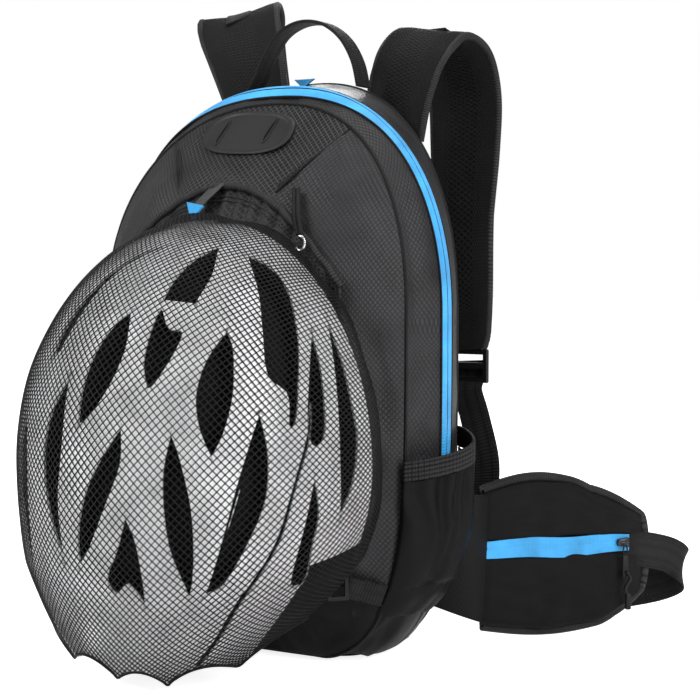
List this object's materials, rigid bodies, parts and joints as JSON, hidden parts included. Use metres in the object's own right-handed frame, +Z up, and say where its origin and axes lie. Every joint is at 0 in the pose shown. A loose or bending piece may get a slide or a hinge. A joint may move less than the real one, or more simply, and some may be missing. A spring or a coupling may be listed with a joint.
{
  "type": "hydration pack",
  "caption": "Cycling hydration backpack with an arched zip, stretch side pockets, a hip belt with zipped pockets, a hidden water reservoir, and a front net holding a helmet.",
  "frame": {"origin": "middle of the base panel's underside", "axes": "+Z up; -Y towards the front, where the helmet net is; +Y towards the wearer's back and the straps; +X to the right seen from the front"},
  "size_m": [0.5158, 0.4492, 0.5121],
  "materials": {
    "ripstop": "woven lattice ripstop nylon, coated inside",
    "stretch_fabric": "smooth stretch fabric",
    "air_mesh": "padded spacer mesh",
    "webbing": "ribbed woven webbing and elastic",
    "zip_blue": "water-resistant coated zip tape",
    "plastic": "moulded acetal",
    "patch_rubber": "moulded rubber",
    "net_mesh": "elastic diamond net",
    "helmet_white": "gloss moulded shell",
    "helmet_foam": "matt dark foam",
    "reservoir": "clear film, seen filled",
    "metal": "dark enamelled"
  },
  "bodies": {
    "pack": {"front_shell": "ripstop", "rear_gusset": "ripstop", "front_pocket": "ripstop", "base_panel": "stretch_fabric", "back_panel": "stretch_fabric", "side_pocket_right": "stretch_fabric", "side_pocket_left": "stretch_fabric", "back_pad_left": "air_mesh", "back_pad_right": "air_mesh", "lumbar_pad": "air_mesh", "shoulder_strap_right": "air_mesh", "shoulder_strap_left": "air_mesh", "pocket_hem_right": "webbing", "pocket_hem_left": "webbing", "strap_webbing_right": "webbing", "strap_webbing_left": "webbing", "hook_tab_right": "webbing", "hook_tab_left": "webbing", "main_zip_tape": "zip_blue", "net_pull_tab": "zip_blue", "hose_port_tab": "zip_blue", "frame_sheet": "plastic", "reservoir_outlet": "plastic", "light_patch": "patch_rubber", "reservoir_bladder": "reservoir"},
    "grab_handle": {"grab_handle": "webbing"},
    "main_zip_slider_upper": {"main_zip_slider_upper": "metal"},
    "main_zip_puller_upper": {"main_zip_puller_upper": "metal"},
    "main_zip_slider_lower": {"main_zip_slider_lower": "metal"},
    "main_zip_puller_lower": {"main_zip_puller_lower": "metal"},
    "sternum_strap": {"sternum_clip_right": "plastic", "sternum_clip_left": "plastic", "sternum_webbing_right": "webbing", "sternum_webbing_left": "webbing", "sternum_buckle_socket": "plastic", "sternum_buckle_plug": "plastic"},
    "reservoir_cap": {"reservoir_cap": "plastic"},
    "helmet_carrier": {"helmet_net": "net_mesh", "helmet_shell": "helmet_white", "helmet_liner": "helmet_foam"},
    "belt_wing_right": {"belt_wing_right": "air_mesh", "belt_pocket_lower_right": "stretch_fabric", "belt_pocket_upper_right": "stretch_fabric", "belt_zip_tape_right": "zip_blue", "belt_webbing_right": "webbing", "belt_buckle_socket": "plastic"},
    "belt_zip_slider_right": {"belt_zip_slider_right": "metal"},
    "belt_zip_puller_right": {"belt_zip_puller_right": "metal"},
    "net_hook_right": {"net_hook_right": "plastic"},
    "ladder_lock_right": {"ladder_lock_right": "plastic"},
    "belt_wing_left": {"belt_wing_left": "air_mesh", "belt_pocket_lower_left": "stretch_fabric", "belt_pocket_upper_left": "stretch_fabric", "belt_zip_tape_left": "zip_blue", "belt_webbing_left": "webbing", "belt_buckle_plug": "plastic"},
    "belt_zip_slider_left": {"belt_zip_slider_left": "metal"},
    "belt_zip_puller_left": {"belt_zip_puller_left": "metal"},
    "net_hook_left": {"net_hook_left": "plastic"},
    "ladder_lock_left": {"ladder_lock_left": "plastic"}
  },
  "joints": [
    {"name": "grab_handle_swing", "type": "hinge", "parent": "pack", "child": "grab_handle", "pos_m": [0, 0.036, 0.42075], "axis": [1, 0, 0], "range_deg": [-20, 30]},
    {"name": "main_zip_upper_travel", "type": "slide", "parent": "pack", "child": "main_zip_slider_upper", "axis": [0, 0, 1], "range_m": [0, 0.045]},
    {"name": "main_zip_lower_travel", "type": "slide", "parent": "pack", "child": "main_zip_slider_lower", "axis": [0, 0, -1], "range_m": [0, 0.05]},
    {"name": "main_zip_upper_pull", "type": "hinge", "parent": "main_zip_slider_upper", "child": "main_zip_puller_upper", "pos_m": [-0.1538, -0.005, 0.239], "axis": [0, 1, 0], "range_deg": [0, 80]},
    {"name": "main_zip_lower_pull", "type": "hinge", "parent": "main_zip_slider_lower", "child": "main_zip_puller_lower", "pos_m": [-0.1513, -0.005, 0.227], "axis": [0, 1, 0], "range_deg": [0, 5]},
    {"name": "belt_wing_right_swing", "type": "hinge", "parent": "pack", "child": "belt_wing_right", "pos_m": [0.1375, 0.059, 0], "axis": [0, 0, 1], "range_deg": [-25, 15]},
    {"name": "belt_zip_right_travel", "type": "slide", "parent": "belt_wing_right", "child": "belt_zip_slider_right", "axis": [-0.6782, -0.7349, 0], "range_m": [0, 0.095]},
    {"name": "belt_zip_right_pull", "type": "hinge", "parent": "belt_zip_slider_right", "child": "belt_zip_puller_right", "pos_m": [0.22744, 0.13656, 0.071], "axis": [-0.6782, -0.7349, 0], "range_deg": [0, 80]},
    {"name": "net_hook_right_swing", "type": "hinge", "parent": "pack", "child": "net_hook_right", "pos_m": [0.103, -0.0795, 0.0635], "axis": [0, 0, 1], "range_deg": [0, 20]},
    {"name": "ladder_lock_right_tilt", "type": "hinge", "parent": "pack", "child": "ladder_lock_right", "pos_m": [0.101, 0.1172, 0.2185], "axis": [1, 0, 0], "range_deg": [-15, 15]},
    {"name": "belt_wing_left_swing", "type": "hinge", "parent": "pack", "child": "belt_wing_left", "pos_m": [-0.1375, 0.059, 0], "axis": [0, 0, -1], "range_deg": [-25, 15]},
    {"name": "belt_zip_left_travel", "type": "slide", "parent": "belt_wing_left", "child": "belt_zip_slider_left", "axis": [0.6782, -0.7349, 0], "range_m": [0, 0.095]},
    {"name": "belt_zip_left_pull", "type": "hinge", "parent": "belt_zip_slider_left", "child": "belt_zip_puller_left", "pos_m": [-0.22744, 0.13656, 0.071], "axis": [-0.6782, 0.7349, 0], "range_deg": [0, 80]},
    {"name": "net_hook_left_swing", "type": "hinge", "parent": "pack", "child": "net_hook_left", "pos_m": [-0.103, -0.0795, 0.0635], "axis": [0, 0, -1], "range_deg": [0, 20]},
    {"name": "ladder_lock_left_tilt", "type": "hinge", "parent": "pack", "child": "ladder_lock_left", "pos_m": [-0.101, 0.1172, 0.2185], "axis": [1, 0, 0], "range_deg": [-15, 15]},
    {"name": "sternum_strap_height", "type": "slide", "parent": "pack", "child": "sternum_strap", "axis": [0, 0, 1], "range_m": [-0.02, 0.03]},
    {"name": "reservoir_cap_turn", "type": "hinge", "parent": "pack", "child": "reservoir_cap", "pos_m": [0, 0.0086, 0.268], "axis": [0, -1, 0], "range_deg": [0, 270]},
    {"name": "helmet_swing", "type": "hinge", "parent": "pack", "child": "helmet_carrier", "pos_m": [0, -0.095, 0.326], "axis": [-1, 0, 0], "range_deg": [0, 20]}
  ]
}
